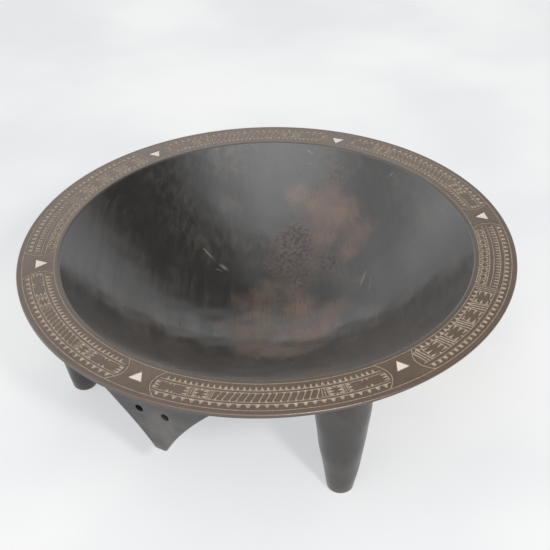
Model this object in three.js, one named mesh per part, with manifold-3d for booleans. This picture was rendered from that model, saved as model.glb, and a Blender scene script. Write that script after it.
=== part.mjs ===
// A carved ceremonial drinking bowl: a wide round basin on four tapered legs, hollowed from one log,
// with a flat rim, a pierced lug to hang it by, and six triangular shell inlays let into the rim.
// The basin, rim, legs and lug are regions of the one carved body, kept as simple solids that meet
// across a hairline gap. The shell inlays are loose pieces on the real bowl.
// Millimetres, +Z up. The origin is on the floor, under the middle of the bowl. The lug faces -Y.
import * as THREE from "three";
import { mergeVertices } from "three/addons/utils/BufferGeometryUtils.js";
import Module from "manifold-3d";

const wasm = await Module();
wasm.setup();

// Basin and rim
const HEIGHT = 150; // floor to the flat top of the rim
const RIM_RADIUS = 250;
const MOUTH_RADIUS = 209; // inner edge of the flat rim
const RIM_THICKNESS = 9; // where it joins the wall
const RIM_THINS_FROM = 230; // radius where the underside starts to rise towards the outer edge
const EDGE_THICKNESS = 5;
const EDGE_ROUNDING = 2.2; // round of the rim's outer edge, above and below
const BOWL_DEPTH = 98; // rim top to the lowest point of the hollow
const UNDERSIDE_HEIGHT = 38; // floor to the lowest point of the basin's underside
const SHOULDER_RADIUS = 219; // where the outer wall runs into the underside of the rim
const JOIN_GAP = 0.3; // between neighbouring solids

// Legs
const LEG_RADIUS_AT = 204; // from the bowl's axis to the middle of each foot
const LEG_AZIMUTHS = { leg_back_right: 41, leg_back_left: 136.5, leg_front_left: 221, leg_front_right: 316.5 };
const FOOT_FLAT_RADIUS = 10;
const FOOT_ROUNDING = 3;
const LEG_TOP_RADIUS = 26.5;
const LEG_BELLY = [new THREE.Vector2(17.5, 35), new THREE.Vector2(26.5, 80)]; // pull of the side's curve

// Suspension lug
const LUG_TIP_DROP = 102.5; // rim top down to the blunt tip
const LUG_TIP_HALF_WIDTH = 6;
const LUG_HALF_WIDTH = 77; // where it meets the rim
const LUG_WAIST = new THREE.Vector2(29, 57); // half width and drop that pull the flanks' curve in
const LUG_FACE_RADIUS = 225; // outer face, measured at the height of the rim top
const LUG_TILT = THREE.MathUtils.degToRad(5.7); // the face leans in towards the tip
const LUG_THICKNESS = 18;
const CORD_HOLE_RADIUS = 3.5;
const CORD_HOLE_OFFSET = 13.5; // each side of the lug's middle
const CORD_HOLE_DROP = 49.5; // below the rim top

// Shell inlays, cut and set by eye, so that they differ in size and place
const INLAYS = [
  { azimuth: 269.3, centreRadius: 229.3, side: 13 },
  { azimuth: 328, centreRadius: 225.4, side: 13.2 },
  { azimuth: 36.8, centreRadius: 230.7, side: 14 },
  { azimuth: 95.5, centreRadius: 228.2, side: 14.5 },
  { azimuth: 152.7, centreRadius: 228, side: 14.5 },
  { azimuth: 216.3, centreRadius: 227.7, side: 14.2 },
];
const INLAY_THICKNESS = 1.7;
const POCKET_DEPTH = 2;

// Fineness of the solids
const TURNED_STEPS = 72;
const LEG_STEPS = 24;
const HOLE_STEPS = 20;
const ARC_STEPS = 12;

const RIM_UNDERSIDE = HEIGHT - RIM_THICKNESS;
const BODY_TOP = RIM_UNDERSIDE - JOIN_GAP;

const blackened = { color: 0x3f3b37, roughness: 0.45, metalness: 0 };
const rubbed = { color: 0x6f6155, roughness: 0.6, metalness: 0 };
const shell = { color: 0xefe9df, roughness: 0.35, metalness: 0 };

// Turns a closed profile of (radius, height) points round the Z axis.
function turned(profile, steps = TURNED_STEPS) {
  const geometry = new THREE.LatheGeometry(profile, steps);
  geometry.rotateX(Math.PI / 2);
  return geometry;
}

function toSolid(geometry) {
  const bare = geometry.clone();
  bare.deleteAttribute("normal");
  bare.deleteAttribute("uv");
  const merged = mergeVertices(bare);
  const mesh = new wasm.Mesh({
    numProp: 3,
    vertProperties: new Float32Array(merged.attributes.position.array),
    triVerts: new Uint32Array(merged.index.array),
  });
  return new wasm.Manifold(mesh);
}

function toGeometry(solid) {
  const mesh = solid.getMesh();
  const geometry = new THREE.BufferGeometry();
  geometry.setAttribute("position", new THREE.BufferAttribute(mesh.vertProperties, mesh.numProp));
  geometry.setIndex(new THREE.BufferAttribute(mesh.triVerts, 1));
  geometry.computeVertexNormals();
  return geometry;
}

function part(name, geometry, finish) {
  const mesh = new THREE.Mesh(geometry, new THREE.MeshStandardMaterial(finish));
  mesh.name = name;
  return mesh;
}

// A sphere that passes through a ring of the given radius and height and through a lowest point on the axis.
function bowlSphere(ringRadius, ringHeight, lowest) {
  const rise = ringHeight - lowest;
  const radius = (ringRadius ** 2 + rise ** 2) / (2 * rise);
  return { radius, centre: lowest + radius };
}

// Points on that sphere's lower half, from the axis up to a height.
function sphereArc(sphere, topHeight, steps = ARC_STEPS) {
  const last = Math.acos((sphere.centre - topHeight) / sphere.radius);
  return Array.from({ length: steps + 1 }, (_, i) => {
    const angle = (last * i) / steps;
    return new THREE.Vector2(sphere.radius * Math.sin(angle), sphere.centre - sphere.radius * Math.cos(angle));
  });
}

const hollow = bowlSphere(MOUTH_RADIUS, HEIGHT, HEIGHT - BOWL_DEPTH);
const underside = bowlSphere(SHOULDER_RADIUS, RIM_UNDERSIDE, UNDERSIDE_HEIGHT);

function basinGeometry() {
  const inner = sphereArc(hollow, BODY_TOP);
  const outer = sphereArc(underside, BODY_TOP).reverse();
  return turned([...outer.reverse(), ...inner.reverse()]);
}

// Everything inside the basin's outer wall, grown by the gap that its neighbours keep.
function basinClearance() {
  const grown = { radius: underside.radius + JOIN_GAP, centre: underside.centre };
  const wall = sphereArc(grown, HEIGHT);
  return toSolid(turned([...wall, new THREE.Vector2(0, HEIGHT)]));
}

// A quarter of a circle, anticlockwise from an angle.
function quarter(x, y, radius, from) {
  return [0, 1, 2, 3].map((i) => {
    const angle = from + (i * Math.PI) / 6;
    return new THREE.Vector2(x + radius * Math.cos(angle), y + radius * Math.sin(angle));
  });
}

function rimGeometry() {
  const innerLow = Math.sqrt(hollow.radius ** 2 - (hollow.centre - RIM_UNDERSIDE) ** 2);
  const corner = RIM_RADIUS - EDGE_ROUNDING;
  const section = [
    new THREE.Vector2(innerLow, RIM_UNDERSIDE),
    new THREE.Vector2(RIM_THINS_FROM, RIM_UNDERSIDE),
    ...quarter(corner, HEIGHT - EDGE_THICKNESS + EDGE_ROUNDING, EDGE_ROUNDING, -Math.PI / 2),
    ...quarter(corner, HEIGHT - EDGE_ROUNDING, EDGE_ROUNDING, 0),
    new THREE.Vector2(MOUTH_RADIUS, HEIGHT),
    new THREE.Vector2(innerLow, RIM_UNDERSIDE),
  ];
  const pockets = INLAYS.map((inlay) => toSolid(inlayGeometry(inlay, JOIN_GAP, POCKET_DEPTH, 1)));
  return toGeometry(pockets.reduce((rim, pocket) => rim.subtract(pocket), toSolid(turned(section))));
}

// Everything above the rim's underside, lowered by the gap that the lug keeps.
function rimClearance() {
  const outside = 2 * RIM_RADIUS;
  const edgeLow = HEIGHT - EDGE_THICKNESS - JOIN_GAP;
  const section = [
    new THREE.Vector2(0, BODY_TOP),
    new THREE.Vector2(RIM_THINS_FROM, BODY_TOP),
    new THREE.Vector2(RIM_RADIUS, edgeLow),
    new THREE.Vector2(outside, edgeLow),
    new THREE.Vector2(outside, 2 * HEIGHT),
    new THREE.Vector2(0, 2 * HEIGHT),
  ];
  return toSolid(turned(section));
}

// An equilateral prism with its point towards the bowl's axis, from depth below the rim top to rise above it.
function inlayGeometry({ azimuth, centreRadius, side }, margin, depth, rise) {
  const reach = side / Math.sqrt(3) + 2 * margin;
  const outline = new THREE.Shape(
    [180, 300, 60].map((degrees) => {
      const angle = THREE.MathUtils.degToRad(degrees);
      return new THREE.Vector2(reach * Math.cos(angle), reach * Math.sin(angle));
    }),
  );
  const geometry = new THREE.ExtrudeGeometry(outline, { depth: depth + rise, bevelEnabled: false });
  geometry.translate(centreRadius, 0, HEIGHT - depth);
  geometry.rotateZ(THREE.MathUtils.degToRad(azimuth));
  return geometry;
}

function legGeometry(azimuth, clearance) {
  const sole = quarter(FOOT_FLAT_RADIUS, FOOT_ROUNDING, FOOT_ROUNDING, -Math.PI / 2);
  const top = new THREE.Vector2(LEG_TOP_RADIUS, BODY_TOP);
  const side = new THREE.CubicBezierCurve(sole.at(-1), ...LEG_BELLY, top);
  const profile = [
    new THREE.Vector2(0, 0),
    ...sole.slice(0, -1),
    ...side.getPoints(ARC_STEPS),
    new THREE.Vector2(0, BODY_TOP),
  ];
  const leg = turned(profile, LEG_STEPS);
  leg.translate(LEG_RADIUS_AT, 0, 0);
  leg.rotateZ(THREE.MathUtils.degToRad(azimuth));
  return toGeometry(toSolid(leg).subtract(clearance));
}

// The lug's outline hangs from the rim top: x across, y down from the rim top as a negative number.
function lugOutline() {
  const flank = (side) =>
    new THREE.QuadraticBezierCurve(
      new THREE.Vector2(side * LUG_TIP_HALF_WIDTH, -LUG_TIP_DROP),
      new THREE.Vector2(side * LUG_WAIST.x, -LUG_WAIST.y),
      new THREE.Vector2(side * LUG_HALF_WIDTH, -RIM_THICKNESS),
    ).getPoints(ARC_STEPS);
  return new THREE.Shape([
    ...flank(1),
    new THREE.Vector2(LUG_HALF_WIDTH, 0),
    new THREE.Vector2(-LUG_HALF_WIDTH, 0),
    ...flank(-1).reverse(),
  ]);
}

function lugGeometry(clearance) {
  const plate = new THREE.ExtrudeGeometry(lugOutline(), { depth: LUG_THICKNESS, bevelEnabled: false });
  plate.translate(0, 0, -LUG_THICKNESS);
  plate.rotateX(Math.PI / 2 + LUG_TILT);
  plate.translate(0, -LUG_FACE_RADIUS, HEIGHT);
  const drills = [-1, 1].map((side) => {
    const drill = new THREE.CylinderGeometry(CORD_HOLE_RADIUS, CORD_HOLE_RADIUS, 4 * LUG_THICKNESS, HOLE_STEPS);
    drill.translate(side * CORD_HOLE_OFFSET, -LUG_FACE_RADIUS, HEIGHT - CORD_HOLE_DROP);
    return toSolid(drill);
  });
  const cutters = [clearance, rimClearance(), ...drills];
  return toGeometry(cutters.reduce((lug, cutter) => lug.subtract(cutter), toSolid(plate)));
}

const bowl = new THREE.Group();
const clearance = basinClearance();
bowl.add(part("basin", basinGeometry(), blackened));
bowl.add(part("carved_rim", rimGeometry(), rubbed));
for (const [name, azimuth] of Object.entries(LEG_AZIMUTHS)) {
  bowl.add(part(name, legGeometry(azimuth, clearance), blackened));
}
bowl.add(part("suspension_lug", lugGeometry(clearance), blackened));
INLAYS.forEach((inlay, i) => {
  bowl.add(part(`shell_inlay_${i + 1}`, inlayGeometry(inlay, 0, INLAY_THICKNESS, 0), shell));
});

export default bowl;
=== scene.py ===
import math

import bpy
import numpy as np
from mathutils import Matrix, Vector


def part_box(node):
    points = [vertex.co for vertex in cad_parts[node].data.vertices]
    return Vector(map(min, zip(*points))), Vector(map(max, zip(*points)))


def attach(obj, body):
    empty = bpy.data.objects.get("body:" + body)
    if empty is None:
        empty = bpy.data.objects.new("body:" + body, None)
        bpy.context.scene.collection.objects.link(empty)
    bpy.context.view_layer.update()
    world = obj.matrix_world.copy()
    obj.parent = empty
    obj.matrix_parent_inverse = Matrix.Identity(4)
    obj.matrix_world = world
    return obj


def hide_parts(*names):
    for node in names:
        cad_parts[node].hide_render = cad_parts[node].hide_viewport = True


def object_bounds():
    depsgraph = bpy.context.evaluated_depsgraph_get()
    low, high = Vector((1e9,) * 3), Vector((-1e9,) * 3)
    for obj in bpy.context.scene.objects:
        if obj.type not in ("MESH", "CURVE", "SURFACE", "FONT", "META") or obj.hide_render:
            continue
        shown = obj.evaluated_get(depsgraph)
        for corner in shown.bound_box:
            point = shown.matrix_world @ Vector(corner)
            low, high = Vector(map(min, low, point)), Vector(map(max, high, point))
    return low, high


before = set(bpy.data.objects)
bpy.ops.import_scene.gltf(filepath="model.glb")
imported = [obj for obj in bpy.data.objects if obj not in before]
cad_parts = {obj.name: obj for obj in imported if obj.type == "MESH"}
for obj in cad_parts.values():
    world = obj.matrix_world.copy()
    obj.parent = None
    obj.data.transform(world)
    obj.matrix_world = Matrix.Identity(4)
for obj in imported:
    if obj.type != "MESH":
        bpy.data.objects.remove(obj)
cad_low, cad_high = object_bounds()

# ---------------------------------------------------------------------------
# The viewpoint. A slightly long lens, a little under a metre from the rim's
# centre, looks down over the front right of the bowl.
# ---------------------------------------------------------------------------
rim_centre = Vector((0, 0, cad_high.z))
view_azimuth = math.radians(28.5)
view_elevation = math.radians(34.1)
view_distance = 0.9207
aim_yaw, aim_pitch, aim_roll = (math.radians(a) for a in (-0.48, -2.27, 1.61))

camera_data = bpy.data.cameras.new("viewpoint")
camera_data.sensor_width = 36
camera_data.lens = 58.97
camera_data.clip_start = 0.05
camera_data.clip_end = 30
camera = bpy.data.objects.new("viewpoint", camera_data)
bpy.context.scene.collection.objects.link(camera)
bpy.context.scene.camera = camera
swing = Matrix.Rotation(view_azimuth, 4, "Z") @ Matrix.Rotation(math.pi / 2 - view_elevation, 4, "X")
aim = (
    Matrix.Rotation(aim_yaw, 4, "Y")
    @ Matrix.Rotation(aim_pitch, 4, "X")
    @ Matrix.Rotation(-aim_roll, 4, "Z")
)
stand_off = swing @ Vector((0, 0, view_distance))
camera.matrix_world = Matrix.Translation(rim_centre + stand_off) @ swing @ aim

# ---------------------------------------------------------------------------
# The basin: a round hollow adzed and scraped out of one log of dense hardwood,
# stained near-black and rubbed with oil until it is satin smooth. Its underside
# follows the hollow and runs out into the rim through a small cove.
# ---------------------------------------------------------------------------
MM = 0.001
FULL_TURN = 2 * math.pi
rim_top = cad_high.z
rim_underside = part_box("carved_rim")[0].z
mouth_radius = 209 * MM
hollow_bottom = 52 * MM
shoulder_radius = 219 * MM
cove_radius = 14 * MM
lip_round = 3 * MM


def sphere_through(ring_radius, ring_height, lowest):
    """Radius and centre height of the sphere through a ring and a lowest point on the same axis:
    half of (ring radius squared plus rise squared) over the rise."""
    rise = ring_height - lowest
    radius = (ring_radius**2 + rise**2) / (2 * rise)
    return radius, lowest + radius


hollow_ball, hollow_ball_height = sphere_through(mouth_radius, rim_top, hollow_bottom)
wall_ball, wall_ball_height = sphere_through(shoulder_radius, rim_underside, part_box("basin")[0].z)


def waves(points, wavelength, seed, count=9):
    """A smooth uneven field of about -1 to 1: the sum of sine waves that cross in all directions,
    with lengths near the one given and phases from a fixed seed, over the root of their number."""
    rng = np.random.default_rng(seed)
    directions = rng.normal(size=(count, 3))
    directions /= np.linalg.norm(directions, axis=1, keepdims=True)
    lengths = wavelength * rng.uniform(0.6, 1.7, count)
    phases = rng.uniform(0, FULL_TURN, count)
    turns = points @ (directions * (FULL_TURN / lengths)[:, None]).T
    return np.sin(turns + phases).sum(-1) / math.sqrt(count)


def arc(centre, radius, start, end, steps):
    """Points at even angles round part of a circle, as (across, up) pairs."""
    angle = np.linspace(start, end, steps)
    return np.stack([centre[0] + radius * np.cos(angle), centre[1] + radius * np.sin(angle)], -1)


def revolve(section, angles):
    """Each (radius, height) of the section is carried round the Z axis to every angle."""
    radius, height = section[:, 0], section[:, 1]
    around = np.stack([np.cos(angles), np.sin(angles)], -1)
    flat = around[:, None, :] * radius[None, :, None]
    return np.concatenate([flat, np.broadcast_to(height, flat.shape[:2])[..., None]], -1)


def skin(name, points, wrap=True, loop=False, poles=False, attributes=None, flip=False):
    """Joins a grid of points into a closed mesh. wrap joins the last column to the first, loop the last
    row to the first. With poles, the first and last row are each one point. Without wrap, the two end
    columns are closed with a fan. attributes are one value for each grid point."""
    columns, rows = points.shape[:2]
    index = np.arange(columns * rows).reshape(columns, rows)
    verts = points.reshape(-1, 3)
    fields = {}
    for key, value in (attributes or {}).items():
        fields[key] = np.ascontiguousarray(value, dtype=np.float32).ravel()
    if poles:
        index[:, 0], index[:, -1] = index[0, 0], index[0, -1]
    this = index if wrap else index[:-1]
    after = np.roll(index, -1, axis=0) if wrap else index[1:]
    if loop:
        this = np.concatenate([this, this[:, :1]], 1)
        after = np.concatenate([after, after[:, :1]], 1)
    quads = np.stack([this[:, :-1], after[:, :-1], after[:, 1:], this[:, 1:]], -1).reshape(-1, 4)
    triangles = np.empty((0, 3), int)
    if poles:
        first, last = quads[:, 0] == quads[:, 1], quads[:, 2] == quads[:, 3]
        triangles = np.concatenate([quads[first][:, [0, 2, 3]], quads[last][:, [0, 1, 2]]])
        quads = quads[~first & ~last]
    if not wrap:
        fans = []
        for rim, turn in ((index[0], 1), (index[-1], -1)):
            hub = len(verts)
            verts = np.concatenate([verts, verts[rim].mean(0, keepdims=True)])
            fields = {key: np.append(value, value[rim].mean()) for key, value in fields.items()}
            following = np.roll(rim, -turn)
            fans.append(np.stack([np.full(len(rim), hub), rim, following], -1))
        triangles = np.concatenate([triangles, *fans])
    if flip:
        quads, triangles = quads[:, ::-1], triangles[:, ::-1]
    used = np.zeros(len(verts), bool)
    used[quads] = True
    used[triangles] = True
    renumber = np.cumsum(used) - 1
    corners = np.concatenate([renumber[quads].ravel(), renumber[triangles].ravel()])
    starts = np.concatenate([np.arange(len(quads)) * 4, len(quads) * 4 + np.arange(len(triangles)) * 3])
    mesh = bpy.data.meshes.new(name)
    mesh.vertices.add(int(used.sum()))
    mesh.vertices.foreach_set("co", verts[used].astype(np.float32).ravel())
    mesh.loops.add(len(corners))
    mesh.loops.foreach_set("vertex_index", corners.astype(np.int32))
    mesh.polygons.add(len(starts))
    mesh.polygons.foreach_set("loop_start", starts.astype(np.int32))
    for key, value in fields.items():
        mesh.attributes.new(key, "FLOAT", "POINT").data.foreach_set("value", value[used])
    mesh.update(calc_edges=True)
    mesh.validate()
    mesh.shade_smooth()
    piece = bpy.data.objects.new(name, mesh)
    bpy.context.scene.collection.objects.link(piece)
    return piece


def lip_fillet():
    """The lip's round: its centre, and the angle from it to where the round meets the hollow's wall. Its
    centre lies one round's radius under the rim top and outside the hollow's sphere."""
    height = rim_top - lip_round
    drop = hollow_ball_height - height
    radius = math.sqrt((hollow_ball + lip_round) ** 2 - drop**2)
    return (radius, height), math.atan2(drop, -radius)


def basin_section():
    """The basin's outline from the hollow's lowest point round to the underside's lowest point, as
    (radius, height): the hollow's arc, a hidden slope under the rim, the cove, then the wall's arc."""
    lip_centre, meeting = lip_fillet()
    inner_end = meeting - math.pi
    inner = arc((0, hollow_ball_height), hollow_ball, -math.pi / 2, inner_end, 100)
    inner[0, 0] = 0
    cove_height = rim_underside - cove_radius
    reach = wall_ball + cove_radius
    cove_centre = (math.sqrt(reach**2 - (wall_ball_height - cove_height) ** 2), cove_height)
    down = math.atan2(wall_ball_height - cove_height, -cove_centre[0])
    cove = arc(cove_centre, cove_radius, math.pi / 2, down, 10)
    wall_start = math.atan2(cove_height - wall_ball_height, cove_centre[0])
    outer = arc((0, wall_ball_height), wall_ball, wall_start, -math.pi / 2, 60)
    outer[-1, 0] = 0
    return np.concatenate([inner, cove, outer[1:]]), len(inner)


section, hollow_rows = basin_section()
basin_points = revolve(section, np.arange(480) / 480 * FULL_TURN)
hand_work = 0.35 * MM * waves(basin_points, 70 * MM, seed=3)
hand_work = hand_work + 0.12 * MM * waves(basin_points, 24 * MM, seed=4)
settle = np.ones(len(section))
settle[hollow_rows - 12 : hollow_rows + 12] = 0
settle[hollow_rows - 24 : hollow_rows - 12] = np.linspace(1, 0, 12)
settle[hollow_rows + 12 : hollow_rows + 18] = np.linspace(0, 1, 6)
basin_points[..., 2] += hand_work * settle


def soft_patches(points, patches):
    """A value that is 1 in the middle of round patches and falls away like a bell outside them: one less
    the product, over all patches, of (1 - strength * exp(-(distance / radius)^2))."""
    left = np.ones(points.shape[:-1])
    for x, y, radius, strength in patches:
        away = np.hypot(points[..., 0] - x * MM, points[..., 1] - y * MM) / (radius * MM)
        left *= 1 - strength * np.exp(-(away**2))
    return 1 - left


# Where drink has stripped the stain back to reddish brown, where the brown is more ochre, where the bare
# wood is pitted with black, and the painted light on the near side of the hollow: x, y and radius in mm, and
# strength.
worn_patches = [
    (-44, 156, 15, 0.75),
    (-13, 155, 20, 0.9),
    (0, 173, 13, 0.7),
    (22, 154, 18, 0.85),
    (51, 131, 17, 0.8),
    (47, 112, 14, 0.7),
    (8, 124, 20, 0.75),
    (10, 89, 14, 0.7),
    (-20, 104, 18, 0.6),
    (-22, 70, 18, 0.6),
    (-22, 33, 22, 0.65),
    (8, 48, 18, 0.6),
    (-37, 3, 16, 0.6),
    (-3, -9, 20, 0.8),
    (29, 19, 22, 0.9),
    (69, 35, 18, 0.75),
    (68, 8, 17, 0.8),
    (71, -21, 18, 0.85),
    (40, -20, 20, 0.55),
    (12, -34, 20, 0.6),
    (-8, -45, 18, 0.8),
    (-27, -42, 15, 0.7),
    (9, -68, 18, 0.75),
    (33, -60, 20, 0.8),
    (59, -54, 19, 0.75),
    (76, 76, 12, 0.4),
]
ochre_patches = [
    (10, 89, 13, 1),
    (-3, -9, 24, 1),
    (-22, 33, 20, 0.7),
    (10, -61, 26, 0.9),
    (52, -53, 26, 0.8),
]
pitted_patches = [
    (-24, 110, 20, 1),
    (-12, 94, 20, 1),
    (-27, 71, 19, 1),
    (28, 94, 15, 0.9),
    (6, 60, 18, 0.8),
    (-49, 180, 12, 0.4),
    (-3, 187, 18, 0.6),
]
# Painted light: these broad patches lighten the stain on the near side of the hollow, standing in for the
# light its wall reflects.
near_wall_painted_light_patches = [
    (10, -140, 60, 0.9),
    (80, -120, 60, 0.9),
    (-70, -120, 55, 0.8),
    (140, -60, 55, 0.8),
]
is_hollow = np.arange(len(section)) < hollow_rows
stains_and_painted_light = {
    "painted_near_light": soft_patches(basin_points, near_wall_painted_light_patches) * is_hollow,
    "worn": soft_patches(basin_points, worn_patches) * is_hollow,
    "ochre": soft_patches(basin_points, ochre_patches) * is_hollow,
    "pitted": soft_patches(basin_points, pitted_patches) * is_hollow,
}
basin = skin("basin_carved", basin_points, poles=True, attributes=stains_and_painted_light, flip=True)
basin.data.set_sharp_from_angle(angle=math.radians(40))


def add_node(tree, kind, sockets=None, **settings):
    """Adds a shader node. settings are its own properties. sockets give an input a value or a link."""
    made = tree.nodes.new(kind)
    for key, value in settings.items():
        setattr(made, key, value)
    for key, value in (sockets or {}).items():
        if isinstance(value, bpy.types.NodeSocket):
            tree.links.new(value, made.inputs[key])
        else:
            made.inputs[key].default_value = value
    return made


def maths(tree, operation, *values, clamp=False):
    sockets = dict(enumerate(values))
    return add_node(tree, "ShaderNodeMath", sockets, operation=operation, use_clamp=clamp).outputs[0]


def ramp(tree, value, low, high, to_low=0.0, to_high=1.0):
    """Turns a value from low to high into one from to_low to to_high, smoothly and no further."""
    limits = {"Value": value, "From Min": low, "From Max": high, "To Min": to_low, "To Max": to_high}
    return add_node(tree, "ShaderNodeMapRange", limits, interpolation_type="SMOOTHSTEP").outputs[0]


def mix(tree, share, first, second):
    """Blends two colours: all first where the share is 0, all second where it is 1."""
    sockets = {0: share, 6: first, 7: second}
    return add_node(tree, "ShaderNodeMix", sockets, data_type="RGBA", clamp_factor=True).outputs[2]


def noise(tree, vector, scale, detail=3.0, roughness=0.55):
    settings = {"Vector": vector, "Scale": scale, "Detail": detail, "Roughness": roughness}
    return add_node(tree, "ShaderNodeTexNoise", settings).outputs["Fac"]


def new_group(name, inputs, outputs):
    """An empty shader group with float or vector inputs and float outputs."""
    tree = bpy.data.node_groups.new(name, "ShaderNodeTree")
    for label, kind, value in inputs:
        socket = tree.interface.new_socket(label, in_out="INPUT", socket_type=kind)
        if value is not None:
            socket.default_value = value
    for label in outputs:
        tree.interface.new_socket(label, in_out="OUTPUT", socket_type="NodeSocketFloat")
    return tree, tree.nodes.new("NodeGroupInput"), tree.nodes.new("NodeGroupOutput")


def wood_figure_group():
    """Wood grain along the log: broad bands, long soft streaks, and short dark pores that follow them. The
    noise is squeezed across the grain and stretched along it."""
    tree, given, result = new_group(
        "wood_figure", [("Vector", "NodeSocketVector", None)], ["Band", "Streak", "Pore"]
    )
    turned = add_node(
        tree,
        "ShaderNodeMapping",
        {"Vector": given.outputs[0], "Rotation": (0, 0, -grain_turn)},
        vector_type="POINT",
    ).outputs[0]
    for label, stretch, detail, low, high in (
        ("Band", (4, 48, 48), 3.0, 0.36, 0.66),
        ("Streak", (9, 150, 150), 4.0, 0.35, 0.68),
        ("Pore", (42, 620, 620), 1.0, 0.6, 0.74),
    ):
        squeezed = add_node(
            tree, "ShaderNodeVectorMath", {0: turned, 1: stretch}, operation="MULTIPLY"
        ).outputs[0]
        tree.links.new(ramp(tree, noise(tree, squeezed, 1.0, detail), low, high), result.inputs[label])
    return tree


def scratch_group():
    """One pale scrape: full strength inside an ellipsoid with a centre, a size and a turn about Z, broken
    up by noise."""
    inputs = [
        ("Vector", "NodeSocketVector", None),
        ("Centre", "NodeSocketVector", None),
        ("Turn", "NodeSocketVector", None),
        ("Size", "NodeSocketVector", None),
    ]
    tree, given, result = new_group("scratch", inputs, ["Mask"])
    placed = add_node(
        tree,
        "ShaderNodeMapping",
        {"Vector": given.outputs[0], "Location": given.outputs[1], "Rotation": given.outputs[2],
         "Scale": given.outputs[3]},
        vector_type="TEXTURE",
    ).outputs[0]
    away = add_node(tree, "ShaderNodeVectorMath", {0: placed}, operation="LENGTH").outputs["Value"]
    broken = noise(tree, given.outputs[0], 420.0, 4.0, 0.7)
    faded = maths(tree, "SUBTRACT", 1.4, maths(tree, "ADD", away, maths(tree, "MULTIPLY", broken, 1.15)))
    tree.links.new(ramp(tree, faded, 0.0, 0.9), result.inputs["Mask"])
    return tree


grain_turn = math.radians(118.5)
wood_figure = wood_figure_group()
scratch = scratch_group()

stain_black = (0.0155, 0.0145, 0.0135, 1)
stain_thin = (0.036, 0.030, 0.0255, 1)
bare_brown = (0.098, 0.056, 0.037, 1)
bare_ochre = (0.088, 0.066, 0.043, 1)
bare_dark = (0.048, 0.027, 0.019, 1)
pit_black = (0.008, 0.006, 0.006, 1)
scrape_grey = (0.16, 0.155, 0.145, 1)


def use_group(tree, group, **sockets):
    return add_node(tree, "ShaderNodeGroup", sockets, node_tree=group)


def start_material(name):
    """A material with a Principled shader, and the piece's own coordinates."""
    material = bpy.data.materials.new(name)
    material.use_nodes = True
    tree = material.node_tree
    shader = tree.nodes["Principled BSDF"]
    place = add_node(tree, "ShaderNodeTexCoord").outputs["Object"]
    return material, tree, shader, place


def finish_surface(tree, shader, colour, rough, height, distance, gloss=0.75):
    shader.inputs["Specular IOR Level"].default_value = gloss
    tree.links.new(colour, shader.inputs["Base Color"])
    tree.links.new(rough, shader.inputs["Roughness"])
    bump = add_node(tree, "ShaderNodeBump", {"Height": height, "Distance": distance, "Strength": 1.0})
    tree.links.new(bump.outputs[0], shader.inputs["Normal"])


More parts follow.
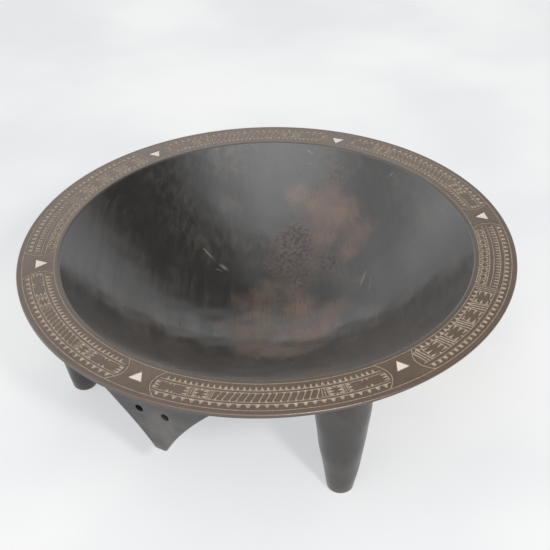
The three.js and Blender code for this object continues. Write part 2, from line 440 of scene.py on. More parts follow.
def hollow_material():
    """Satin black stain over brown wood, thin along the grain, worn to brown in patches, pitted and
    scraped, and lightened with painted light in broad patches on the near side of the hollow."""
    material, tree, shader, place = start_material("hollow_finish")
    figure = use_group(tree, wood_figure, Vector=place)
    band, streak, pore = (figure.outputs[name] for name in ("Band", "Streak", "Pore"))
    cloud = noise(tree, place, 16.0, 5.0, 0.6)
    fine = noise(tree, place, 60.0, 6.0, 0.7)
    worn, ochre, pitted, painted_near_light = (
        add_node(tree, "ShaderNodeAttribute", attribute_name=name).outputs["Fac"]
        for name in ("worn", "ochre", "pitted", "painted_near_light")
    )
    ragged = maths(tree, "ADD", maths(tree, "MULTIPLY", fine, 0.5), maths(tree, "MULTIPLY", cloud, 1.3))
    bare = ramp(tree, maths(tree, "SUBTRACT", maths(tree, "ADD", worn, ragged), 0.9), 0.1, 1.05)
    blotch = ramp(tree, noise(tree, place, 24.0, 5.0, 0.55), 0.38, 0.62)
    tide = ramp(tree, maths(tree, "ABSOLUTE", maths(tree, "SUBTRACT", cloud, 0.5)), 0.014, 0.0)
    brown = mix(tree, ochre, bare_brown, bare_ochre)
    brown = mix(tree, maths(tree, "MULTIPLY", blotch, 0.65), brown, bare_dark)
    brown = mix(tree, maths(tree, "MULTIPLY", tide, 0.35), brown, bare_ochre)
    thin = maths(tree, "MULTIPLY", ramp(tree, cloud, 0.35, 0.7), streak)
    # Painted light: the near-side patches push the stain towards the paler stain colour.
    painted_near_light_share = maths(tree, "MULTIPLY", painted_near_light, ramp(tree, band, 0.0, 1.0, 0.7, 1.0))
    thin = maths(tree, "MAXIMUM", thin, painted_near_light_share)
    colour = mix(tree, thin, stain_black, stain_thin)
    colour = mix(tree, maths(tree, "MULTIPLY", bare, 0.85), colour, brown)
    speckle = ramp(tree, noise(tree, place, 250.0, 4.0, 0.65), 0.38, 0.62)
    pits = ramp(tree, maths(tree, "ADD", pitted, cloud), 0.7, 1.3)
    colour = mix(tree, maths(tree, "MULTIPLY", pits, 0.75), colour, bare_dark)
    pits = maths(tree, "MULTIPLY", speckle, pits)
    colour = mix(tree, pits, colour, pit_black)
    colour = mix(tree, maths(tree, "MULTIPLY", pore, 0.6), colour, pit_black)
    scrapes = [
        ((-99, 43, 75), -17, (24, 2.4, 9)),
        ((-77, 38, 66), -12, (11, 4.4, 7)),
        ((-80, 31, 65), 14, (9, 1.4, 6)),
        ((-45, 198, 143), -4, (10, 1.0, 5)),
        ((-40, 189, 133), 2, (5, 0.8, 4)),
        ((62, 192, 142), 55, (8, 1.0, 6)),
        ((78, 76, 75), 96, (26, 1.3, 12)),
        ((90, 66, 80), 104, (20, 1.0, 10)),
        ((-29, 162, 108), 0, (1.3, 1.3, 2)),
        ((40, 102, 75), 0, (1.2, 1.2, 2)),
    ]
    marks = 0.0
    for centre, turn, size in scrapes:
        made = use_group(
            tree,
            scratch,
            Vector=place,
            Centre=[c * MM for c in centre],
            Turn=(0, 0, math.radians(turn)),
            Size=[s * MM for s in size],
        )
        marks = maths(tree, "MAXIMUM", made.outputs["Mask"], marks)
    colour = mix(tree, maths(tree, "MULTIPLY", marks, 0.7), colour, scrape_grey)
    rough = ramp(tree, band, 0.0, 1.0, 0.17, 0.24)
    rough = maths(tree, "ADD", rough, maths(tree, "MULTIPLY", streak, 0.04))
    rough = maths(tree, "ADD", rough, maths(tree, "MULTIPLY", bare, 0.12))
    rough = maths(tree, "ADD", rough, maths(tree, "MULTIPLY", pits, 0.4))
    sunken = maths(tree, "MULTIPLY", pore, 0.2)
    height = maths(tree, "SUBTRACT", maths(tree, "MULTIPLY", streak, 0.3), sunken)
    height = maths(tree, "ADD", height, maths(tree, "MULTIPLY", fine, 0.1))
    height = maths(tree, "SUBTRACT", height, maths(tree, "MULTIPLY", pits, 0.8))
    finish_surface(tree, shader, colour, rough, height, 0.12 * MM, gloss=0.9)
    shader.inputs["Sheen Weight"].default_value = 0.08
    shader.inputs["Sheen Tint"].default_value = (1.0, 0.93, 0.86, 1)
    shader.inputs["Sheen Roughness"].default_value = 0.4
    return material


basin.data.materials.append(hollow_material())
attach(basin, "root")
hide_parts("basin")

# ---------------------------------------------------------------------------
# The carved rim: the wide flat margin of the same log, left browner and rubbed
# satin. Its bands are cut with a fine chisel and a knife, and show pale. It is
# made in six stretches, one from each inlay to the next, that meet in plain wood.
# ---------------------------------------------------------------------------
rim_radius = cad_high.x
edge_thickness = 3.4 * MM
edge_unevenness = 1.2 * MM
thins_from = 230 * MM
edge_round = 1.1 * MM
columns_round = 3600
row_pitch = 0.36 * MM
inlay_azimuths = (269.3, 328.0, 396.8, 455.5, 512.7, 576.3)
inlay_radii = (229.3, 225.4, 230.7, 228.2, 228.0, 227.7)
inlay_sides = (13.0, 13.2, 14.0, 14.5, 14.5, 14.2)
stretch_lead = 2.5

# Radii of the carved lines and bands, and half widths of their cuts, in mm.
outer_border = 244.7
inner_border = 213.7
line_half = 0.36
carve_mid_radius = 230.0
rope_lines = (237.8, 235.3, 224.6, 221.9)
rope_teeth = (237.8, 241.5)
rope_inner_teeth = (221.9, 217.6)


def zigzag_teeth(start, end, base, tip, pitch, base_half, tip_half, rng):
    """A row of wedge cuts at an even pitch, each from the base radius to the tip radius."""
    count = max(int(round((end - start) / pitch)), 1)
    x = start + (np.arange(count) + 0.5) * (end - start) / count + rng.normal(0, 0.12, count)
    base_y = np.full(count, base)
    tip_y = tip + rng.normal(0, 0.15, count)
    widths = 1 + rng.normal(0, 0.06, count)
    tip_x = x + rng.normal(0, 0.15, count)
    return np.stack([x, base_y, base_half * widths, tip_x, tip_y, tip_half * widths], -1)


def stroke(x0, y0, x1, y1, half):
    """A straight cut that narrows a little towards its second end."""
    return [x0, y0, half, x1, y1, half * 0.8]


def comb(base_x, tip_x, low, high, rng, prongs=3, fatness=0.4):
    """A bar across the band, with wedges that point along the band to the tip."""
    pitch = (high - low) / prongs
    middles = low + pitch * (np.arange(prongs) + 0.5)
    cuts = [stroke(base_x, low, base_x, high, 0.42)]
    for y in middles:
        cuts.append([base_x, y, pitch * fatness, tip_x + rng.normal(0, 0.25), y + rng.normal(0, 0.15), 0.12])
    return cuts


def crossed_combs(start, end, low, high, rng, **shape):
    """Two combs that face each other, with small wedges top and bottom in the space between."""
    length = end - start
    middle = (start + end) / 2
    cuts = comb(start, start + length * 0.38, low, high, rng, **shape)
    cuts += comb(end, end - length * 0.38, low, high, rng, **shape)
    for base, reach in ((high, -2.6), (low, 2.6)):
        cuts.append([middle, base, 1.3, middle, base + reach, 0.1])
    return cuts


def hatching(start, end, low, high, pitch, lean, rng):
    """Slanted strokes with a wedge at each end, like rope strands."""
    count = max(int(round((end - start) / pitch)), 1)
    cuts = []
    for i in range(count):
        x = start + (i + 0.5) * (end - start) / count + rng.normal(0, 0.15)
        top, foot = x + lean / 2, x - lean / 2
        cuts.append(stroke(foot, low, top, high, 0.5))
        cuts.append([foot - 0.9, low, 1.1, foot + 0.25 * lean, low + 2.4, 0.1])
        cuts.append([top + 0.9, high, 1.1, top - 0.25 * lean, high - 2.4, 0.1])
    return cuts


def end_arc(tip_x, direction, bulge_out, bulge_in, middle):
    """The bowed line that closes a panel, as short straight cuts: it bulges to the tip at the middle
    radius and falls back as the square of the distance from it."""
    y = np.linspace(inner_border, outer_border, 13)
    outwards = (y - middle) / (outer_border - middle)
    inwards = (middle - y) / (middle - inner_border)
    share = np.where(y > middle, outwards, inwards)
    back = np.where(y > middle, bulge_out, bulge_in) * share**2
    x = tip_x + direction * back
    return np.stack([x[:-1], y[:-1], np.full(12, 0.42), x[1:], y[1:], np.full(12, 0.42)], -1).tolist()


def rope_panel(length, lean, blanks, rng):
    """The cuts of a panel with a rope of slanted strokes along its middle. Each end has a comb, a blank
    stretch with small paired teeth, a comb, bars, crossed combs and bars. Positions are mm from the
    panel's tips, and blanks says how far from each tip the second comb's points lie."""
    low, high = rope_lines[2], rope_lines[1]
    cuts = []
    for radius in rope_lines:
        cuts.append([4.6, radius, line_half, length - 4.6, radius, line_half])
    rows = [
        zigzag_teeth(6.5, length - 6.5, *rope_teeth, 7.4, 2.3, 0.75, rng),
        zigzag_teeth(9.0, length - 9.0, *rope_inner_teeth, 5.3, 1.75, 0.3, rng),
    ]
    rope_ends = []
    for side, blank in zip((1, -1), blanks):
        from_tip = (lambda d: d) if side == 1 else (lambda d: length - d)
        cuts += end_arc(from_tip(0), side, 9.5, 7.0, 228.5)
        cuts += comb(from_tip(3.6), from_tip(8.6), low + 0.6, high - 0.6, rng)
        for share, wide, deep in ((0.52, 1.3, 3.0), (0.66, 0.9, 2.2)):
            x = from_tip(3 + (blank - 3) * share)
            cuts.append([x, high, wide, x + side * 0.6, high - deep, 0.3])
            cuts.append([x - 0.8, low, 1.0, x - 0.8, low + 2.8, 0.15])
        cuts += comb(from_tip(blank + 3.7), from_tip(blank), low, high, rng)
        for step in (4.9, 6.8, 8.6):
            x = from_tip(blank + step)
            cuts.append(stroke(x, low, x, high, 0.42))
        cuts += crossed_combs(from_tip(blank + 9.4), from_tip(blank + 20.6), low, high, rng)
        for fan, step in enumerate((21.8, 23.8, 25.9)):
            x = from_tip(blank + step)
            cuts.append(stroke(x, low, x + lean * 0.15 * fan, high, 0.45))
        rope_ends.append(from_tip(blank + 27.0))
    cuts += hatching(*rope_ends, low, high, 5.9, lean, rng)
    return np.concatenate([np.array(cuts, float), *rows])


def net_panel(length, rng):
    """The cuts of a panel in two unlike halves, parted by bars across it. The first half has groups of
    near-upright strokes between crossed combs. The second has a ladder of short bars, a double line and
    a band of crossed combs."""
    rows = [zigzag_teeth(6.5, length - 6.5, 238.4, 241.8, 6.8, 1.8, 1.3, rng)]
    middle = length * 0.515
    low, high = 218.6, 234.2
    cuts = [
        [5.0, 237.8, 0.3, length - 5.0, 237.8, 0.3],
        [4.0, high, line_half, middle, high, line_half],
        [5.0, low, line_half, middle, low, line_half],
    ]
    rows.append(zigzag_teeth(7.5, middle - 2.0, low - 0.4, 215.2, 7.0, 2.0, 0.5, rng))
    period = (middle - 5.5) / 4
    for group in range(4):
        x = 5.0 + period * group
        for i in range(3):
            foot = x + 3.3 * i + rng.normal(0, 0.2)
            cuts.append(stroke(foot, low + 0.4, foot + 2.6, high - 0.4, 0.72))
        cuts += crossed_combs(x + 10.2, x + period - 1.6, low, high, rng, fatness=0.24)
    for i in range(3):
        bar = middle + 0.8 + 2.7 * i
        cuts.append(stroke(bar, inner_border, bar, high + 1.8, 0.42))
    half_start = middle + 8.0
    for radius in (234.0, 227.6, 223.6):
        cuts.append([half_start, radius, line_half, length - 4.4, radius, line_half])
    rows.append(zigzag_teeth(half_start, length - 6.0, 234.0, 229.8, 4.6, 0.8, 0.6, rng))
    count = int((length - 5.5 - half_start) / 10.2)
    for i in range(count):
        x = half_start + 10.2 * i
        cuts += crossed_combs(x + 0.6, x + 8.2, 214.4, 223.0, rng, prongs=2, fatness=0.3)
    for side, at in ((1, 0.0), (-1, length)):
        cuts += end_arc(at, side, 7.5, 8.5, 229.0)
    return np.concatenate([np.array(cuts, float), *rows])


def inside_cuts(along, radius, cuts):
    """How far inside the nearest cut each grid point lies, in mm, and negative outside. A cut is a
    wedge from one point and half width to another: the least of the distances to its sides and ends."""
    inside = np.full((len(along), len(radius)), -9.0)
    step = along[1] - along[0]
    for x0, y0, half0, x1, y1, half1 in cuts:
        wide = max(half0, half1) + 1.7
        first = int(np.searchsorted(along, min(x0, x1) - wide))
        last = int(np.searchsorted(along, max(x0, x1) + wide))
        low = int(np.searchsorted(radius, min(y0, y1) - wide))
        top = int(np.searchsorted(radius, max(y0, y1) + wide))
        if last <= first or top <= low:
            continue
        length = math.hypot(x1 - x0, y1 - y0)
        ux, uy = (x1 - x0) / length, (y1 - y0) / length
        px = along[first:last, None] - x0
        py = radius[None, low:top] - y0
        run = px * ux + py * uy
        off = np.abs(px * uy - py * ux)
        slope = (half1 - half0) / length
        side = (half0 + slope * run - off) / math.sqrt(1 + slope**2)
        ends = np.minimum(run, length - run) + 0.25
        part = np.minimum(side, ends)
        window = inside[first:last, low:top]
        np.maximum(window, part, out=window)
    return inside


def triangle_inside(x, y, half_side):
    """How far inside an equilateral triangle a point lies: the least distance to its three sides. Its
    point is towards smaller y, at the bowl's axis."""
    inradius = half_side / math.sqrt(3)
    slant = x * math.sqrt(3) / 2
    return np.minimum.reduce([inradius - y, inradius + y / 2 - slant, inradius + y / 2 + slant])


def rim_section():
    """The stretch's outline as (radius, height), and how much of each point is top face, edge bead and
    underside: lip round, flat top, rounded edge, underside, then a hidden slope back to the lip."""
    lip_centre, meeting = lip_fillet()
    lip = arc(lip_centre, lip_round, meeting, math.pi / 2, 6)
    top = np.arange(lip[-1, 0] + row_pitch, rim_radius - edge_round, row_pitch)
    flat = np.stack([top, np.full(len(top), rim_top)], -1)
    bead_radius, bead_foot = rim_radius - edge_round, rim_top - edge_thickness
    bead = np.concatenate([
        arc((bead_radius, rim_top - edge_round), edge_round, math.pi / 2, 0, 9),
        arc((bead_radius, bead_foot + edge_round), edge_round, 0, -math.pi / 2, 9),
    ])
    thinning = np.linspace((bead_radius, bead_foot), (thins_from, rim_underside), 8)
    root = (shoulder_radius + 6.6 * MM, rim_underside)
    return np.concatenate([lip, flat, bead, thinning[1:], [root]]), len(lip), len(lip) + len(flat)


rim_outline, flat_start, flat_end = rim_section()
flat_radii = rim_outline[flat_start:flat_end, 0] / MM
bead_share = np.clip((rim_outline[:, 0] - (rim_radius - 4.6 * MM)) / (2.4 * MM), 0, 1)
# How far down the edge each point lies: the lower half of the edge gets painted shade, and below it the
# underside takes the body's black stain.
below_share = np.clip((rim_top - 0.9 * MM - rim_outline[:, 1]) / (2.0 * MM), 0, 1)
lip_share = np.clip((mouth_radius + 3.6 * MM - rim_outline[:, 0]) / (3.2 * MM), 0, 1)
under_edge = np.clip((rim_outline[:, 0] - thins_from) / (rim_radius - edge_round - thins_from), 0, 1)

mm_per_degree = math.radians(1) * carve_mid_radius
panel_gap_degrees = 3.5
deepest_cut = 0.7
# The lean of each panel's rope strokes and the lengths of its two blank stretches, or None for a net panel.
panels = (
    (-4.9, (29.6, 35.4)),
    None,
    (4.9, (33.0, 31.0)),
    (-4.9, (31.5, 33.5)),
    None,
    (4.9, (35.5, 34.7)),
)


def carved_stretch(number):
    """One stretch of rim: the section carried round from inlay to inlay, sunk by the carving. A cut's
    depth grows with the distance inside its edge and levels off at the deepest. The rim's edge is
    thickest at the front and back: its underside drops with the cosine of twice the azimuth."""
    start = inlay_azimuths[number] + stretch_lead
    end = inlay_azimuths[(number + 1) % 6] + stretch_lead + (360 if number == 5 else 0)
    step = 360 / columns_round
    first, last = int(round(start / step)), int(round(end / step))
    azimuth = np.arange(first, last + 1) * step
    points = revolve(rim_outline, np.radians(azimuth))
    heavier = edge_unevenness * np.cos(2 * np.radians(azimuth - 270))
    below = np.clip((rim_top - edge_round - rim_outline[:, 1]) / (1 * MM), 0, 1)
    points[..., 2] -= heavier[:, None] * below * under_edge
    rng = np.random.default_rng(20 + number)
    panel_start = inlay_azimuths[number] + panel_gap_degrees
    panel_end = end - stretch_lead - panel_gap_degrees
    length = (panel_end - panel_start) * mm_per_degree
    along = (azimuth - panel_start) * mm_per_degree
    cuts = rope_panel(length, *panels[number], rng) if panels[number] else net_panel(length, rng)
    inside = inside_cuts(along, flat_radii, cuts)
    for radius in (outer_border, inner_border):
        inside = np.maximum(inside, line_half - np.abs(flat_radii - radius)[None, :])
    depth = deepest_cut * (1 - np.exp(-np.maximum(inside, 0) * 1.25 / deepest_cut))
    cut = np.clip((inside + 0.10) / 0.36, 0, 1)
    # Painted shade: how close each point of land lies beside a cut, full within about 0.8 mm of its edge and
    # gone at 1.7 mm.
    cut_edge_shade = np.clip((inside + 1.7) / 0.9, 0, 1)
    inlay_x = np.radians(azimuth - (end - stretch_lead))[:, None] * flat_radii[None, :]
    inlay_y = np.broadcast_to(flat_radii[None, :] - inlay_radii[(number + 1) % 6], inlay_x.shape)
    pocket = triangle_inside(inlay_x, inlay_y, inlay_sides[(number + 1) % 6] / 2 + 0.5)
    depth = np.maximum(depth, np.clip(pocket * 2.5, 0, 1.9))
    glue = np.clip((pocket + 0.3) / 0.5, 0, 1)
    fields = {}
    for key, value in (("cut", cut), ("cut_edge_shade", cut_edge_shade), ("glue", glue), ("sunk", depth)):
        fields[key] = np.zeros(points.shape[:2])
        fields[key][:, flat_start:flat_end] = value
    points[..., 2] -= fields.pop("sunk") * MM
    for key, value in (("bead", bead_share), ("below", below_share), ("lip", lip_share)):
        fields[key] = np.broadcast_to(value, points.shape[:2])
    name = f"rim_stretch_{number + 1}"
    stretch = skin(name, points, wrap=False, loop=True, attributes=fields, flip=True)
    stretch.data.set_sharp_from_angle(angle=math.radians(75))
    return stretch


rim_brown = (0.084, 0.055, 0.035, 1)
rim_dark = (0.052, 0.034, 0.022, 1)
# The colour of the painted shade beside the cuts.
rim_painted_shade = (0.055, 0.036, 0.019, 1)
rim_pale = (0.31, 0.235, 0.17, 1)
rim_pale_deep = (0.17, 0.122, 0.084, 1)
bead_red = (0.060, 0.034, 0.022, 1)
glue_dark = (0.03, 0.022, 0.017, 1)


def rim_material():
    """Satin brown wood with pale cuts and painted shade on the land beside them, a redder rubbed edge whose
    lower half darkens with painted shade into the black underside, and dark gum at the inlays."""
    material, tree, shader, place = start_material("rim_finish")
    figure = use_group(tree, wood_figure, Vector=place)
    streak, pore = figure.outputs["Streak"], figure.outputs["Pore"]
    cloud = noise(tree, place, 30.0, 5.0, 0.6)
    fine = noise(tree, place, 420.0, 4.0, 0.65)
    field = {
        name: add_node(tree, "ShaderNodeAttribute", attribute_name=name).outputs["Fac"]
        for name in ("cut", "cut_edge_shade", "glue", "bead", "below", "lip")
    }
    land = mix(tree, ramp(tree, cloud, 0.3, 0.7), rim_dark, rim_brown)
    land = mix(tree, maths(tree, "MULTIPLY", streak, 0.35), land, rim_brown)
    land = mix(tree, maths(tree, "MULTIPLY", ramp(tree, fine, 0.42, 0.62), 0.35), land, rim_dark)
    # Painted shade darkens the land beside the cuts.
    land = mix(tree, maths(tree, "MULTIPLY", field["cut_edge_shade"], 0.7), land, rim_painted_shade)
    pale = mix(tree, ramp(tree, fine, 0.35, 0.65), rim_pale_deep, rim_pale)
    colour = mix(tree, field["cut"], land, pale)
    colour = mix(tree, maths(tree, "MULTIPLY", pore, 0.4), colour, rim_dark)
    reddened = maths(tree, "MULTIPLY", field["bead"], ramp(tree, cloud, 0.3, 0.62, 0.1, 0.6))
    colour = mix(tree, reddened, colour, bead_red)
    # The lower half of the edge darkens to red-brown and then black: painted shade, running on into the
    # black stain of the underside.
    colour = mix(tree, ramp(tree, field["below"], 0.0, 0.35), colour, bead_red)
    colour = mix(tree, ramp(tree, field["below"], 0.4, 0.9), colour, stain_black)
    colour = mix(tree, field["lip"], colour, stain_thin)
    colour = mix(tree, field["glue"], colour, glue_dark)
    rough = maths(tree, "ADD", 0.23, maths(tree, "MULTIPLY", fine, 0.12))
    rough = maths(tree, "ADD", rough, maths(tree, "MULTIPLY", field["bead"], 0.08))
    rough = maths(tree, "ADD", rough, maths(tree, "MULTIPLY", field["cut"], 0.3))
    height = maths(tree, "ADD", maths(tree, "MULTIPLY", fine, 0.8), maths(tree, "MULTIPLY", streak, 0.4))
    height = maths(tree, "SUBTRACT", height, maths(tree, "MULTIPLY", pore, 0.6))
    finish_surface(tree, shader, colour, rough, height, 0.12 * MM, gloss=1.0)
    return material


rim_finish = rim_material()
stretches = [carved_stretch(number) for number in range(6)]
for stretch in stretches:
    stretch.data.materials.append(rim_finish)
    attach(stretch, "root")
    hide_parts("carved_rim")

# ---------------------------------------------------------------------------
# The four legs: tapered pegs left standing when the underside was carved away,
# round in section, swelling up into the bowl, with soles worn flat and brown.
# ---------------------------------------------------------------------------
leg_ring_radius = 204 * MM
leg_azimuths = {
    "leg_back_right": 41,
    "leg_back_left": 136.5,
    "leg_front_left": 221,
    "leg_front_right": 316.5,
}
foot_corner = (13 * MM, 3 * MM)
foot_flat = 10 * MM
leg_top = (26.5 * MM, rim_underside)
leg_belly = ((17.5 * MM, 35 * MM), (26.5 * MM, 80 * MM))
wall_grip = 5 * MM
sole_brown = (0.082, 0.056, 0.040, 1)


def bezier(points, steps):
    """A cubic curve through its first and last point, pulled by the two between."""
    t = np.linspace(0, 1, steps)[:, None]
    a, b, c, d = (np.array(p) for p in points)
    return a * (1 - t) ** 3 + 3 * b * t * (1 - t) ** 2 + 3 * c * t**2 * (1 - t) + d * t**3


def grow_into_body(points, middle, blend_radius):
    """Swells a limb where it meets the bowl: each point moves away from the limb's middle line by
    (R - d)^2 / 2R, where d is its distance from the wall's sphere or the rim's underside and R the
    blend radius. Points that would pass through the wall stay just inside its outer face."""
    ball = np.array([0, 0, wall_ball_height])
    from_wall = np.linalg.norm(points - ball, axis=-1) - wall_ball
    from_rim = rim_underside - points[..., 2]
    near = np.clip(np.minimum(from_wall, from_rim), 0, blend_radius)
    swell = (blend_radius - near) ** 2 / (2 * blend_radius)
    away = points - middle
    away[..., 2] = 0
    length = np.maximum(np.linalg.norm(away, axis=-1, keepdims=True), 1e-6)
    grown = points + away / length * swell[..., None]
    reach = np.linalg.norm(grown - ball, axis=-1, keepdims=True)
    least = wall_ball - wall_grip
    return ball + (grown - ball) * np.maximum(1, least / reach)


def carved_leg(name, azimuth, seed):
    """A leg's side curve turned about its own axis, uneven by a fraction of a millimetre."""
    side = bezier((foot_corner, *leg_belly, leg_top), 60)
    corner = arc((foot_flat, foot_corner[1]), foot_corner[0] - foot_flat, -math.pi / 2, 0, 5)
    sole = np.linspace((0, 0), (foot_flat, 0), 4)
    crown = np.array([(leg_top[0], rim_underside + 2 * MM), (0, rim_underside + 2 * MM)])
    profile = np.concatenate([sole[:-1], corner[:-1], side, crown])
    points = revolve(profile, np.arange(96) / 96 * FULL_TURN)
    angle = math.radians(azimuth)
    middle = leg_ring_radius * np.array([math.cos(angle), math.sin(angle), 0])
    rise = np.clip(points[..., 2] / (15 * MM), 0, 1)
    out = points * np.array([1, 1, 0])
    out /= np.maximum(np.linalg.norm(out, axis=-1, keepdims=True), 1e-6)
    points = points + middle
    points = points + out * (0.4 * MM * rise * waves(points, 45 * MM, seed))[..., None]
    on_axis = np.broadcast_to(middle, points.shape)
    points = grow_into_body(points, on_axis, 9 * MM)
    points[..., 2] = np.minimum(points[..., 2], rim_underside + 2 * MM)
    return skin(name + "_carved", points, poles=True)


def limb_material(name, cloud_stain_and_painted_light):
    """Black stain over brown wood, satin, cloudy where it thins, and rubbed brown towards the floor. On the
    lug the cloudy colour is a lighter copy of the stain, painted light.
    """
    material, tree, shader, place = start_material(name)
    figure = use_group(tree, wood_figure, Vector=place)
    streak, pore = figure.outputs["Streak"], figure.outputs["Pore"]
    cloud = noise(tree, place, 22.0, 5.0, 0.6)
    fine = noise(tree, place, 260.0, 5.0, 0.65)
    height_up = add_node(tree, "ShaderNodeSeparateXYZ", {0: place}).outputs["Z"]
    low = maths(tree, "ADD", height_up, maths(tree, "MULTIPLY", cloud, 14 * MM))
    scuffed = ramp(tree, low, 22 * MM, 8 * MM)
    colour = mix(tree, ramp(tree, cloud, 0.35, 0.7), stain_black, cloud_stain_and_painted_light)
    colour = mix(tree, maths(tree, "MULTIPLY", scuffed, 0.65), colour, sole_brown)
    colour = mix(tree, maths(tree, "MULTIPLY", pore, 0.3), colour, stain_black)
    rough = maths(tree, "ADD", 0.2, maths(tree, "MULTIPLY", cloud, 0.14))
    height = maths(tree, "ADD", maths(tree, "MULTIPLY", fine, 0.35), maths(tree, "MULTIPLY", streak, 0.35))
    height = maths(tree, "SUBTRACT", height, maths(tree, "MULTIPLY", pore, 0.3))
    finish_surface(tree, shader, colour, rough, height, 0.15 * MM)
    return material


leg_finish = limb_material("leg_finish", stain_thin)
for seed, (node_name, azimuth) in enumerate(leg_azimuths.items()):
    leg = carved_leg(node_name, azimuth, 40 + seed)
    leg.data.materials.append(leg_finish)
    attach(leg, "root")
    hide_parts(node_name)

# ---------------------------------------------------------------------------
# The suspension lug: a flat triangular ear carved under the front of the rim,
# blunt at the tip and hollowed along both flanks, drilled through twice for the
# cord that the bowl hangs by.
# ---------------------------------------------------------------------------
# Painted light: a lighter copy of the black stain that brightens the lug, which faces the lamps.
lug_stain_painted_light = (0.075, 0.068, 0.062, 1)
lug_low, lug_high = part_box("suspension_lug")
tip_half = 6 * MM
lug_waist = (29 * MM, 57 * MM)
lug_corner = 2.2 * MM
lug_face_at_rim = 225 * MM
lug_lean = math.tan(math.radians(5.7))
lug_thickness = 18 * MM
cord_hole_offset = 13.5 * MM
cord_hole_drop = 49.5 * MM
cord_hole_radius = 3.5 * MM


def flank_half_width(height):
    """The lug's half width at a height: a quadratic curve from the tip, pulled in at the waist, out to
    the rim, read off by its height."""
    t = np.linspace(0, 1, 200)[:, None]
    start = np.array([tip_half, rim_top - lug_low.z])
    end = np.array([lug_high.x, rim_top - rim_underside])
    curve = (1 - t) ** 2 * start + 2 * t * (1 - t) * np.array(lug_waist) + t**2 * end
    return np.interp(height, rim_top - curve[:, 1], curve[:, 0])


def rounded_oblong():
    """A loop round an oblong with rounded corners, split in two: where each point's corner centre lies,
    from -1 to 1 across and through, and which way the point stands out from it."""
    corners = np.array([(1, -1), (1, 1), (-1, 1), (-1, -1), (1, -1)], float)
    centres, outward = [], []
    for i, (along, steps) in enumerate(((90, 8), (90, 40), (90, 8), (90, 40))):
        start = -math.pi / 2 + i * math.pi / 2
        turn = np.linspace(start, start + math.pi / 2, 6)
        centres.append(np.repeat(corners[i : i + 1], 6, 0))
        outward.append(np.stack([np.cos(turn), np.sin(turn)], -1))
        share = np.arange(1, steps)[:, None] / steps
        centres.append(corners[i] * (1 - share) + corners[i + 1] * share)
        outward.append(np.repeat(outward[-1][-1:], steps - 1, 0))
    return np.concatenate(centres), np.concatenate(outward)


def lug_body():
    """Closed sections stacked up the lug. Each is an oblong with rounded corners, as wide as the flanks
    and as thick as the plate, set back with depth by the face's lean. The tip is rounded over."""
    bend = np.linspace(0, math.pi / 2, 6)
    heights = np.concatenate([
        [lug_low.z],
        lug_low.z + lug_corner * (1 - np.cos(bend)),
        np.linspace(lug_low.z + lug_corner + 1 * MM, rim_underside, 64),
        [rim_underside + 2 * MM] * 2,
    ])
    inset = np.zeros(len(heights))
    inset[1:7] = lug_corner * (1 - np.sin(bend))
    half_width = flank_half_width(heights) - inset - lug_corner
    half_thick = np.full(len(heights), lug_thickness / 2 - lug_corner) - inset
    centre, outward = rounded_oblong()
    x = centre[:, :1] * half_width + outward[:, :1] * lug_corner
    y = centre[:, 1:] * half_thick + outward[:, 1:] * lug_corner
    x[:, [0, -1]], y[:, [0, -1]] = 0, 0
    face = -(lug_face_at_rim - lug_lean * (rim_top - heights))
    middle_y = np.broadcast_to(face + lug_thickness / 2, x.shape)
    points = np.stack([x, y + middle_y, np.broadcast_to(heights, x.shape)], -1)
    points[..., 1] += 0.3 * MM * waves(points, 60 * MM, seed=51)
    middle = np.stack([np.clip(x, -40 * MM, 40 * MM) * 0.9, middle_y, points[..., 2]], -1)
    points = grow_into_body(points, middle, 12 * MM)
    points[..., 2] = np.minimum(points[..., 2], rim_underside + 2 * MM)
    return skin("lug_carved", points, poles=True)


def drill_hole(piece, x, height):
    """Cuts a hole along Y whose wall flares at both mouths, worn by the cord: its radius grows with the
    fourth power of the distance from the middle of the plate."""
    reach = np.linspace(-1, 1, 25)
    middle_y = -(lug_face_at_rim - lug_lean * (rim_top - height)) + lug_thickness / 2
    radius = cord_hole_radius * (1 + 0.35 * reach**4)
    profile = np.concatenate([[(0, reach[0])], np.stack([radius, reach], -1), [(0, reach[-1])]])
    profile[:, 1] *= lug_thickness * 0.62
    points = revolve(profile, np.arange(40) / 40 * FULL_TURN)
    points = np.stack([points[..., 0] + x, points[..., 2] + middle_y, points[..., 1] + height], -1)
    cutter = skin("drill", points, poles=True, flip=True)
    modifier = piece.modifiers.new("drill", "BOOLEAN")
    modifier.operation = "DIFFERENCE"
    modifier.solver = "EXACT"
    modifier.object = cutter
    bpy.context.view_layer.objects.active = piece
    piece.select_set(True)
    bpy.ops.object.modifier_apply(modifier="drill")
    bpy.data.objects.remove(cutter)


lug = lug_body()
for offset in (-cord_hole_offset, cord_hole_offset):
    drill_hole(lug, offset, rim_top - cord_hole_drop)
lug.data.set_sharp_from_angle(angle=math.radians(50))
# The lug's cloudy colour is the lighter copy of the stain, painted light.
lug.data.materials.append(limb_material("lug_finish", lug_stain_painted_light))
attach(lug, "root")
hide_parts("suspension_lug")

# ---------------------------------------------------------------------------
# The six inlays: small triangles sawn from white shell, rubbed flush with the
# rim and held in their pockets with dark gum. No two are quite alike.
# ---------------------------------------------------------------------------
inlay_thickness = 1.6
glue_line = 0.6
inlay_bevel = 0.22


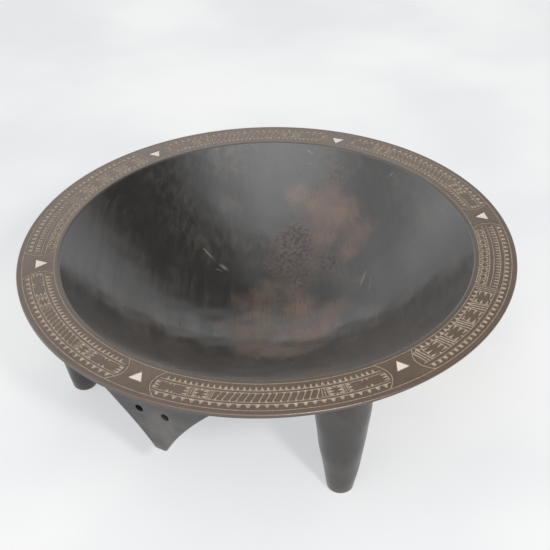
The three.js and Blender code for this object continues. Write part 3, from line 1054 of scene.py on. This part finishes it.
def shell_triangle(number, azimuth):
    """A plate whose rows shrink from its three-sided outline to its middle: a slightly domed top, a small
    bevel, a straight side and a flat base."""
    rng = np.random.default_rng(60 + number)
    corners = []
    for turn in (180, 300, 60):
        reach = (inlay_sides[number] - glue_line) / math.sqrt(3) + rng.normal(0, 0.2)
        angle = math.radians(turn + rng.normal(0, 1.2))
        corners.append((reach * math.cos(angle), reach * math.sin(angle)))
    corners = np.array(corners)
    share = np.arange(20)[:, None] / 20
    sides = [corners[i] * (1 - share) + corners[(i + 1) % 3] * share for i in range(3)]
    outline = np.concatenate(sides)
    rows = [(0, 0), (0.3, 0), (0.6, 0), (0.85, 0), (0.965, 0), (1, -inlay_bevel), (1, -inlay_thickness),
            (0.5, -inlay_thickness), (0, -inlay_thickness)]
    scale, drop = np.array(rows, float).T
    flat = outline[:, None, :] * scale[None, :, None]
    dome = -0.12 * scale**2 + drop
    level = rim_top / MM - 0.05 + np.broadcast_to(dome, flat.shape[:2])
    points = np.concatenate([flat, level[..., None]], -1)
    points[..., 0] += inlay_radii[number]
    turn = math.radians(azimuth)
    cosine, sine = math.cos(turn), math.sin(turn)
    rotation = np.array([[cosine, -sine, 0], [sine, cosine, 0], [0, 0, 1]])
    piece = skin(f"shell_triangle_{number + 1}", points @ rotation.T * MM, poles=True, flip=True)
    piece.data.set_sharp_from_angle(angle=math.radians(30))
    return piece


shell_white = (0.52, 0.455, 0.395, 1)
shell_cream = (0.41, 0.345, 0.275, 1)


def shell_material():
    """Creamy shell with faint growth lines and a thin pearly gloss."""
    material, tree, shader, place = start_material("shell_finish")
    cloud = noise(tree, place, 90.0, 3.0)
    stretch = {0: place, 1: (380, 1300, 380)}
    bent = add_node(tree, "ShaderNodeVectorMath", stretch, operation="MULTIPLY").outputs[0]
    growth = noise(tree, bent, 1.0, 3.0)
    colour = mix(tree, ramp(tree, growth, 0.35, 0.75, 0.0, 0.55), shell_white, shell_cream)
    colour = mix(tree, ramp(tree, cloud, 0.55, 0.8, 0.0, 0.3), colour, shell_cream)
    rough = ramp(tree, growth, 0.3, 0.7, 0.24, 0.4)
    shader.inputs["Coat Weight"].default_value = 0.3
    shader.inputs["Coat Roughness"].default_value = 0.15
    finish_surface(tree, shader, colour, rough, growth, 0.05 * MM)
    return material


shell_finish = shell_material()
for number, azimuth in enumerate(inlay_azimuths):
    inlay = shell_triangle(number, azimuth)
    inlay.data.materials.append(shell_finish)
    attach(inlay, "root")
    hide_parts(f"shell_inlay_{number + 1}")

# ---------------------------------------------------------------------------
# The studio: a white sheet that glows, painted light that lifts the shade on the floor, its glow
# uneven in soft clouds of painted light and shade; a small flash; and a room with a broad glow on
# the left, a bright ceiling, and little light high on the right.
# ---------------------------------------------------------------------------
table_white = (0.25, 0.25, 0.25, 1)
table_shade = (0.235, 0.237, 0.24, 1)
floor_painted_light = (0.575, 0.577, 0.572, 1)
floor_painted_shade = (0.505, 0.508, 0.517, 1)


def make_table():
    """A flat square sheet, wide enough to fill the view."""
    half = 4.0
    mesh = bpy.data.meshes.new("table")
    corners = [(-half, -half, 0), (half, -half, 0), (half, half, 0), (-half, half, 0)]
    mesh.from_pydata(corners, [], [(0, 1, 2, 3)])
    mesh.transform(Matrix.Rotation(view_azimuth, 4, "Z"))
    table = bpy.data.objects.new("table", mesh)
    bpy.context.scene.collection.objects.link(table)
    material, tree, shader, place = start_material("table_painted_glow")
    cloud = ramp(tree, noise(tree, place, 2.6, 3.0, 0.45), 0.35, 0.65)
    tree.links.new(mix(tree, cloud, table_white, table_shade), shader.inputs["Base Color"])
    # Painted light: the sheet glows, brightening the floor and the shade under the bowl, in clouds of
    # painted light and shade.
    tree.links.new(mix(tree, cloud, floor_painted_light, floor_painted_shade), shader.inputs["Emission Color"])
    shader.inputs["Emission Strength"].default_value = 1.0
    shader.inputs["Roughness"].default_value = 0.85
    shader.inputs["Specular IOR Level"].default_value = 0.2
    mesh.materials.append(material)


def add_lamp(name, azimuth, elevation, distance, size, power, colour=(1, 1, 1)):
    """A square soft lamp aimed at the bowl. Azimuth is measured from the viewpoint's, to the right."""
    lamp = bpy.data.lights.new(name, "AREA")
    lamp.shape = "RECTANGLE"
    lamp.size, lamp.size_y = size
    lamp.energy = power
    lamp.color = colour
    holder = bpy.data.objects.new(name, lamp)
    bpy.context.scene.collection.objects.link(holder)
    turn = view_azimuth + math.radians(azimuth)
    rise = math.radians(elevation)
    back = Vector((math.sin(turn) * math.cos(rise), -math.cos(turn) * math.cos(rise), math.sin(rise)))
    holder.location = back * distance + Vector((0, 0, 0.1))
    holder.rotation_euler = back.to_track_quat("Z", "Y").to_euler()
    return holder


make_table()
add_lamp("flash", 23.5, 40, 1.5, (0.16, 0.16), 16, (1.0, 0.985, 0.96))

# The room's glows: azimuth from the viewpoint's and elevation in degrees, strength, and the cosines of
# the angles from its middle where each glow starts and is full. High on the right, the room stays dim.
room_glows = (
    (0, 64, 1.15, 0.74, 0.985),
    (-80, 45, 0.95, 0.3, 0.85),
    (-145, 3, 0.7, 0.7, 0.97),
    (140, 2, 0.95, 0.75, 0.98),
    (180, 22, 0.85, 0.92, 0.99),
    (0, 15, 0.65, 0.4, 0.9),
    (-100, 8, 0.6, 0.8, 0.98),
)
room_base = 0.12
world = bpy.data.worlds.new("studio")
world.use_nodes = True
room = world.node_tree
direction = add_node(room, "ShaderNodeTexCoord").outputs["Generated"]
strength = room_base
for azimuth, elevation, glow, start, full in room_glows:
    turn, rise = view_azimuth + math.radians(azimuth), math.radians(elevation)
    middle = (math.sin(turn) * math.cos(rise), -math.cos(turn) * math.cos(rise), math.sin(rise))
    facing = add_node(room, "ShaderNodeVectorMath", {0: direction, 1: middle}, operation="DOT_PRODUCT")
    strength = maths(room, "ADD", ramp(room, facing.outputs["Value"], start, full, 0.0, glow), strength)
room.links.new(strength, room.nodes["Background"].inputs["Strength"])
room.nodes["Background"].inputs["Color"].default_value = (0.97, 0.985, 1.0, 1)
bpy.context.scene.world = world
bpy.context.scene.view_settings.view_transform = "Standard"
